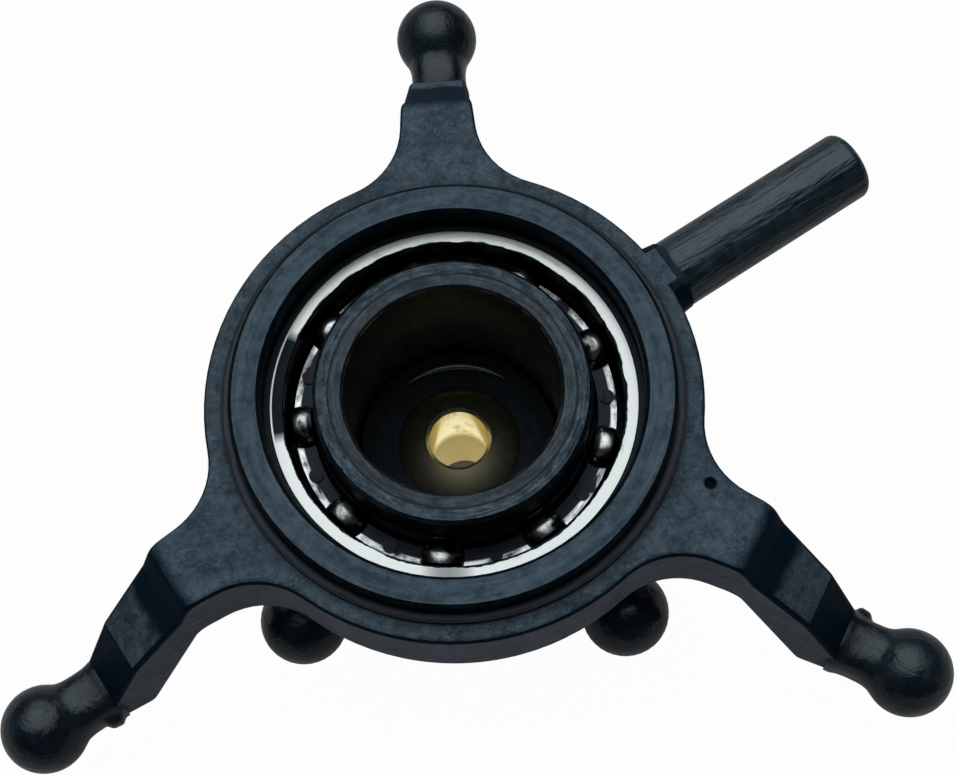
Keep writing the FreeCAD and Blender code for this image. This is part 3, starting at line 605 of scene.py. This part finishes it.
# %% Gloss finishes
def gloss(name, dark, pale, rough, stretch, depth, shine, turn=0.0):
    """Polished black plastic: a soft ripple, hair scratches, a faint haze and painted shade in
    corners.

    The ripple is a noise with its own stretch, turn about the z axis and depth in millimetres.
    """
    material, tree, shader = new_material(name)
    haze = remap(tree, noise(tree, place(tree), 1.3, 5.0, 0.6, 0.4), 0.38, 0.68)
    ripple = noise(tree, place(tree, stretch, (0, 0, turn)), 1.0, 4.0, 0.6, 0.3)
    lines = combine(tree, "MULTIPLY", scratches(tree, (1.0, 1.0, 0.3), 2.2, 0.0035), 0.35)
    colour = blend_colours(tree, haze, dark, pale)
    colour = blend_colours(tree, lines, colour, tuple(2.2 * part for part in pale))
    # Painted shade in corners takes away colour and shine.
    open_share = painted_corner_shade(tree, 1.2, 0.15)
    wire(tree, shader, Base_Color=darken(tree, colour, open_share),
         Roughness=remap(tree, haze, 0.0, 1.0, rough, rough + 0.10),
         Specular_IOR_Level=combine(tree, "MULTIPLY", open_share, shine),
         Specular_Tint=BLUISH,
         Normal=bump(tree, ripple, depth))
    return material


stud_finish = gloss("stud_gloss", dark=(0.002, 0.006, 0.010), pale=(0.008, 0.016, 0.022),
                    rough=0.24, stretch=(1.1, 1.1, 1.1), depth=0.09, shine=0.34)
studs = [name for name in nodes if "ball_stud" in name]
paint(studs, stud_finish)
paint(["anti_rotation_pin"],
      gloss("pin_gloss", dark=(0.003, 0.011, 0.017), pale=(0.016, 0.031, 0.041), rough=0.26,
            stretch=(0.20, 1.5, 1.5), depth=0.19, shine=0.42, turn=math.pi / 6))

# %% [markdown]
# ## Smooth servo studs
#
# On a real stud the ball runs into its neck without an edge, and the neck is a rounded square
# that flares again where it meets the arm. On two of them the mould's gate left a small hump.
# Such a stud is one surface round a line: at each place along the line a radius, made squarer
# on the neck, and a bell-shaped bulge added for the hump. The radius comes from a curve through
# a few places, so it stays smooth.

# %% Pieces from grids of points
def add_piece(name, points, faces, material, body):
    """Smooth piece from points in millimetres, which moves with a body of the frame."""
    mesh = bpy.data.meshes.new(name)
    mesh.from_pydata((points * MM).tolist(), [], faces)
    mesh.shade_smooth()
    mesh.materials.append(material)
    piece = bpy.data.objects.new(name, mesh)
    bpy.context.scene.collection.objects.link(piece)
    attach(piece, body)
    print(name, "faces:", len(mesh.polygons))
    return piece


def tube_piece(name, grid, material, body):
    """Piece from a grid of points, each row a closed loop, with a fan of triangles at each end."""
    rows, steps = grid.shape[:2]
    corner = np.arange(rows * steps).reshape(rows, steps)
    after = np.roll(corner, -1, axis=1)
    quads = np.stack([corner[:-1], after[:-1], after[1:], corner[1:]], -1).reshape(-1, 4)
    first = rows * steps
    points = np.concatenate([grid.reshape(-1, 3), grid[0].mean(0)[None], grid[-1].mean(0)[None]])
    low = np.column_stack([after[0], corner[0], np.full(steps, first)])
    high = np.column_stack([corner[-1], after[-1], np.full(steps, first + 1)])
    return add_piece(name, points, quads.tolist() + low.tolist() + high.tolist(), material, body)


# %% Servo studs
STUD_LINE = np.array([14.30, 14.47, 14.75, 15.15, 15.55, 15.85, 16.10])
STUD_RADIUS = np.array([1.10, 1.10, 1.04, 1.01, 1.03, 1.11, 1.25])
BALL_CENTRE, BALL_RADIUS = 16.931, 1.5
NECK_END, NECK_BLEND = 15.9, 0.5
HUMP_AT, HUMP_LENGTH, HUMP_TURN = 14.80, 0.30, 0.36


def smooth_curve(at, xs, ys):
    """Curve through places (xs, ys): cubic pieces whose slopes are those of neighbours."""
    slopes = np.gradient(ys, xs)
    piece = np.clip(np.searchsorted(xs, at, "right") - 1, 0, len(xs) - 2)
    width = xs[piece + 1] - xs[piece]
    t = (at - xs[piece]) / width
    return ((2 * t**3 - 3 * t**2 + 1) * ys[piece] + (t**3 - 2 * t**2 + t) * width * slopes[piece]
            + (3 * t**2 - 2 * t**3) * ys[piece + 1] + (t**3 - t**2) * width * slopes[piece + 1])


def stud_grid(angle, hump):
    """Points of a stud along the radius at an angle, in degrees.

    Across the stud, radius(t) / (|cos|^p + |sin|^p)^(1/p), where p is 2 on the ball and 2.8 on
    the neck. hump is the height of a bell-shaped bulge on one side, and its sign is the side.
    """
    on_neck = np.linspace(STUD_LINE[0], STUD_LINE[-1], 44)
    start = np.arcsin(STUD_RADIUS[-1] / BALL_RADIUS)
    polar = np.linspace(np.pi - start, 0.004, 56)[1:]
    along = np.concatenate([on_neck, BALL_CENTRE + BALL_RADIUS * np.cos(polar)])[:, None]
    radius = np.concatenate([smooth_curve(on_neck, STUD_LINE, STUD_RADIUS),
                             BALL_RADIUS * np.sin(polar)])[:, None]
    turn = np.linspace(0, 2 * np.pi, 96, endpoint=False)
    squareness = 2 + 0.8 * np.clip((NECK_END - along) / NECK_BLEND, 0, 1)
    section = (np.abs(np.cos(turn)) ** squareness
               + np.abs(np.sin(turn)) ** squareness) ** (-1 / squareness)
    side = 0 if hump > 0 else np.pi
    off_side = np.angle(np.exp(1j * (turn - side)))
    bell = np.exp(-((along - HUMP_AT) / HUMP_LENGTH) ** 4 - (off_side / HUMP_TURN) ** 4)
    reach = radius * section + abs(hump) * bell
    sideways = reach * np.cos(turn)
    up = reach * np.sin(turn)
    out = np.broadcast_to(along, reach.shape)
    c, s = math.cos(math.radians(angle)), math.sin(math.radians(angle))
    return np.stack([out * c - sideways * s, out * s + sideways * c, up], -1)


for number, (angle, hump) in enumerate(((90, 0.0), (210, 0.26), (330, 0.30)), 1):
    stud = tube_piece(f"servo_stud_{number}", stud_grid(angle, hump), stud_finish, "fixed_swash")
    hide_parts(f"servo_ball_stud_{number}")

# %% [markdown]
# ## Outer race
#
# The outer race is ground flat on its faces, and from above its face is all that shows of it:
# a bright band. Its corners are only broken, so the band is nearly as wide as the ring.
# A turned piece is a profile carried round the axis. Each point (r, z) of the profile becomes
# the circle (r cos u, r sin u, z).

# %% Turned piece
def turned_piece(name, profile, material, body, steps=192):
    """Closed profile carried round: (r, z) becomes (r cos u, r sin u, z).

    The profile's points are (radius, height), and run with the material on their left.
    """
    u = np.linspace(0, 2 * np.pi, steps, endpoint=False)
    radius, up = np.array(profile).T[:, :, None]
    flat = np.broadcast_to(up, (len(profile), steps))
    grid = np.stack([radius * np.cos(u), radius * np.sin(u), flat], -1)
    corner = np.arange(flat.size).reshape(flat.shape)
    after = np.roll(corner, -1, axis=1)
    quads = np.stack([corner, after, np.roll(after, -1, axis=0), np.roll(corner, -1, axis=0)],
                     -1).reshape(-1, 4)
    piece = add_piece(name, grid.reshape(-1, 3), quads.tolist(), material, body)
    piece.data.set_sharp_from_angle(angle=math.radians(25))
    return piece


def race_profile(inside, outside, low, high, groove_middle, groove_radius, groove_centre,
                 corner=0.03):
    """Ring section with broken corners and a round groove on its inner side, in millimetres."""
    half = math.acos((inside - groove_centre) / groove_radius)
    turn = np.linspace(-half, half, 17)
    groove = [(groove_centre + groove_radius * math.cos(t),
               groove_middle + groove_radius * math.sin(t)) for t in turn[::-1]]
    return [(inside + corner, high), (inside, high - corner)] + groove + [
        (inside, low + corner), (inside + corner, low), (outside - corner, low),
        (outside, low + corner), (outside, high - corner), (outside - corner, high)]


race_section = race_profile(inside=5.545, outside=5.995, low=4.15, high=6.65,
                            groove_middle=5.40, groove_radius=0.615, groove_centre=5.0)
outer_race = turned_piece("outer_race", race_section, race_finish, "fixed_swash")
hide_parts("bearing_outer_race")

# %% [markdown]
# ## Burr on the ball seat
#
# Where the seat shell was trimmed, a thin crescent of plastic stands up. It catches a line of
# light deep in the well. It is a small tube bent round the axis, whose thickness goes to
# nothing at both ends.

# %% Crescent burr
def crescent_grid(ring, level, tube, start, end):
    """Bent tube ((R + a cos v) cos u, (R + a cos v) sin u, z + a sin v), a = tube sin(pi t).

    R is ring and z is level, in millimetres, and u goes from start to end, in degrees.
    """
    t = np.linspace(0.02, 0.98, 49)[:, None]
    u = np.radians(start + (end - start) * t)
    v = np.linspace(0, 2 * np.pi, 12, endpoint=False)[None]
    thick = tube * np.sin(np.pi * t)
    reach = ring + thick * np.cos(v)
    return np.stack([reach * np.cos(u), reach * np.sin(u), level + thick * np.sin(v)], -1)


burr_finish = turned_plastic("burr_plastic", dark=(0.020, 0.030, 0.036), pale=(0.03, 0.045, 0.05),
                             rough=0.25, ring_share=0.5, shine=0.5, depth=0.003)
burr_grid = crescent_grid(ring=2.82, level=2.26, tube=0.14, start=128, end=50)
burr = tube_piece("seat_burr", burr_grid, burr_finish, "ball_seat")

# %% [markdown]
# ## Table, light and camera
#
# The part lies on a white table under a bright, even ceiling that leans a little to the back,
# as in a light tent whose front is open. The walls near the horizon stay dark, and that gives
# metal and gloss their dark bands. One soft lamp in the ceiling makes the spots on the balls.
# The table looks white to the camera and dimmer in what shines, and still keeps a soft shadow.
# Under the hub that is turned round: a painted pool of light makes the table white to what
# shines, which lights the brass bore, and a painted shadow makes it a small dark spot to the
# camera.

# %% Table
PAINTED_LIGHT_SPOT, PAINTED_SHADOW_SPOT = (2.5, 3.5), (1.6, 2.2)


def table_sheet(half, level, steps=2):
    """Square grid at one level: x and y run from -half to half, and z stays. All in metres."""
    line = np.linspace(-half, half, steps)
    across, along = np.meshgrid(line, line)
    points = np.column_stack([across.ravel(), along.ravel(), np.full(across.size, level)])
    corner = np.arange(steps * steps).reshape(steps, steps)
    quads = np.column_stack([corner[:-1, :-1].ravel(), corner[:-1, 1:].ravel(),
                             corner[1:, 1:].ravel(), corner[1:, :-1].ravel()])
    mesh = bpy.data.meshes.new("table")
    mesh.from_pydata(points.tolist(), [], quads.tolist())
    sheet = bpy.data.objects.new("table", mesh)
    bpy.context.scene.collection.objects.link(sheet)
    return sheet


def white_table_finish(glow, glossy_glow):
    """Table that glows evenly to the camera, and less to what shines, with a painted shadow under
    the hub for the camera and a painted pool of light there for what shines.

    The spots under the hub end over the two distances, in millimetres, that are named for them.
    """
    material, tree, shader = new_material("white_table")
    wire(tree, shader, Base_Color=(0.35, 0.35, 0.35), Roughness=0.7, Specular_IOR_Level=0.2)
    path = tree.nodes.new("ShaderNodeLightPath")
    away = distance_from_axis(tree)
    seen = combine(tree, "MAXIMUM", path.outputs["Is Camera Ray"],
                   path.outputs["Is Transmission Ray"])
    # Painted shadow: near the axis the camera sees the table nearly black.
    seen = combine(tree, "MULTIPLY", seen, glow, remap(tree, away, *PAINTED_SHADOW_SPOT, 0.03, 1.0))
    # Painted light: near the axis what shines sees the table fully white.
    mirrored = combine(tree, "MULTIPLY", path.outputs["Is Glossy Ray"],
                       remap(tree, away, *PAINTED_LIGHT_SPOT, 1.0, glossy_glow))
    white = tree.nodes.new("ShaderNodeEmission")
    white.inputs["Strength"].default_value = 1.0
    mixed = tree.nodes.new("ShaderNodeMixShader")
    tree.links.new(combine(tree, "MAXIMUM", seen, mirrored), mixed.inputs[0])
    tree.links.new(shader.outputs[0], mixed.inputs[1])
    tree.links.new(white.outputs[0], mixed.inputs[2])
    output = next(node for node in tree.nodes if node.type == "OUTPUT_MATERIAL")
    tree.links.new(mixed.outputs[0], output.inputs[0])
    return material


table_level = solid_box[0][2] - 0.02 * MM
table = table_sheet(0.6, table_level)
table.data.materials.append(white_table_finish(glow=0.975, glossy_glow=0.15))
print("table at", round(table_level / MM, 2), "mm")

# %% Ceiling and lamp
LIGHT_FROM = (-0.08, 0.42, 0.90)


def ceiling_world(centre, bright, dark, inner, outer):
    """World that is bright round a direction and dark away from it.

    inner and outer are the cosines of the angles where the brightness starts and stops falling.
    """
    studio = bpy.data.worlds.new("studio")
    bpy.context.scene.world = studio
    studio.use_nodes = True
    tree = studio.node_tree
    where = tree.nodes.new("ShaderNodeTexCoord")
    towards = tree.nodes.new("ShaderNodeVectorMath")
    towards.operation = "DOT_PRODUCT"
    towards.inputs[1].default_value = centre
    tree.links.new(where.outputs["Generated"], towards.inputs[0])
    level = remap(tree, towards.outputs["Value"], outer, inner, dark, bright)
    background = tree.nodes["Background"]
    background.inputs["Color"].default_value = (0.97, 0.99, 1.0, 1)
    tree.links.new(level, background.inputs["Strength"])


def lamp(name, towards, distance_mm, size_mm, radiance):
    """Round lamp seen in one direction from the origin and aimed at it.

    A flat lamp of area A that gives off radiance L has a power of pi A L.
    """
    light = bpy.data.lights.new(name, "AREA")
    light.shape = "DISK"
    light.size = size_mm * MM
    light.energy = math.pi * radiance * math.pi * (size_mm * MM / 2) ** 2
    piece = bpy.data.objects.new(name, light)
    bpy.context.scene.collection.objects.link(piece)
    direction = np.array(towards) / np.linalg.norm(towards)
    piece.location = direction * distance_mm * MM
    piece.rotation_euler = (math.acos(direction[2]), 0,
                            math.atan2(direction[1], direction[0]) + math.pi / 2)
    print(f"{name}: {light.energy / MM:.1f} mW at {distance_mm} mm")


ceiling_world(LIGHT_FROM, bright=2.4, dark=0.05, inner=0.95, outer=0.66)
lamp("ceiling_lamp", LIGHT_FROM, distance_mm=300, size_mm=100, radiance=0.5)

# %% [markdown]
# The camera looks down from the front. Its turns are a heading about the z axis, a tilt away
# from straight down, and a roll about its own line of sight.

# %% Camera
CAMERA_AT = (0.001563, -0.023690, 0.072306)
heading, tilt, roll = (math.radians(angle) for angle in (1.83, 20.145, -5.556))
camera_data = bpy.data.cameras.new("camera")
camera_data.sensor_fit = "HORIZONTAL"
camera_data.sensor_width = 36
camera_data.lens = 81.34
camera_data.clip_start = 0.001
camera = bpy.data.objects.new("camera", camera_data)
bpy.context.scene.collection.objects.link(camera)
turned = (Matrix.Rotation(heading, 4, "Z") @ Matrix.Rotation(tilt, 4, "X")
          @ Matrix.Rotation(roll, 4, "Z"))
camera.matrix_world = Matrix.Translation(CAMERA_AT) @ turned
bpy.context.scene.camera = camera
bpy.context.scene.view_settings.view_transform = "Standard"
print("camera:", round(np.linalg.norm(CAMERA_AT) / MM, 1), "mm from the pivot ball")
